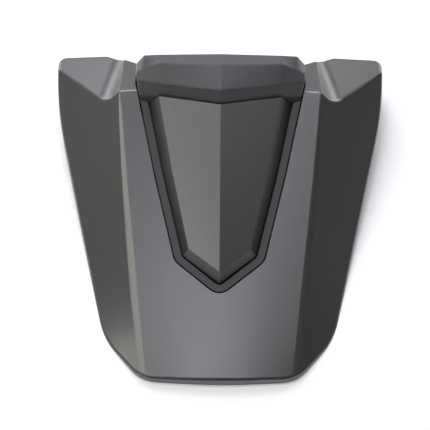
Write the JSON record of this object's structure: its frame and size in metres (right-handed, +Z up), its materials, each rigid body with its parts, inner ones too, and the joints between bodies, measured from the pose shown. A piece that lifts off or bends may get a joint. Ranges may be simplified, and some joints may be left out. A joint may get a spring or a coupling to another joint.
{
  "type": "seat cowl",
  "caption": "Wedge-shaped motorbike seat cowl: painted shell with scooped horns, a bevelled garnish in a bezel, a backrest pad, and a ribbed base with tongues and a lock loop.",
  "frame": {"origin": "middle of the footprint on the plane of the rim", "axes": "+Z up from the rim, +Y forward from the tail to the pad and the rider, +X to the right"},
  "size_m": [0.263, 0.265, 0.0987],
  "materials": {
    "shell_paint": "satin gunmetal metallic paint",
    "bezel_plastic": "fine satin moulded plastic",
    "garnish_paint": "satin gunmetal metallic paint",
    "pad_cover": "smooth moulded vinyl skin over foam",
    "base_plastic": "textured black moulded plastic",
    "plated_steel": "zinc plated",
    "black_steel": "black oxide",
    "rubber": "matt black"
  },
  "bodies": {
    "root": {"cowl_shell": "shell_paint", "garnish_bezel": "bezel_plastic", "centre_garnish": "garnish_paint", "backrest_pad": "pad_cover", "pad_backing": "base_plastic", "base_plate": "base_plastic", "lock_striker": "plated_steel", "striker_bolts": "plated_steel", "striker_nuts": "plated_steel", "base_screws": "black_steel", "bezel_screws": "black_steel", "garnish_screws": "black_steel", "pad_screws": "black_steel", "backing_screws": "black_steel", "rubber_bumpers": "rubber"}
  },
  "joints": []
}
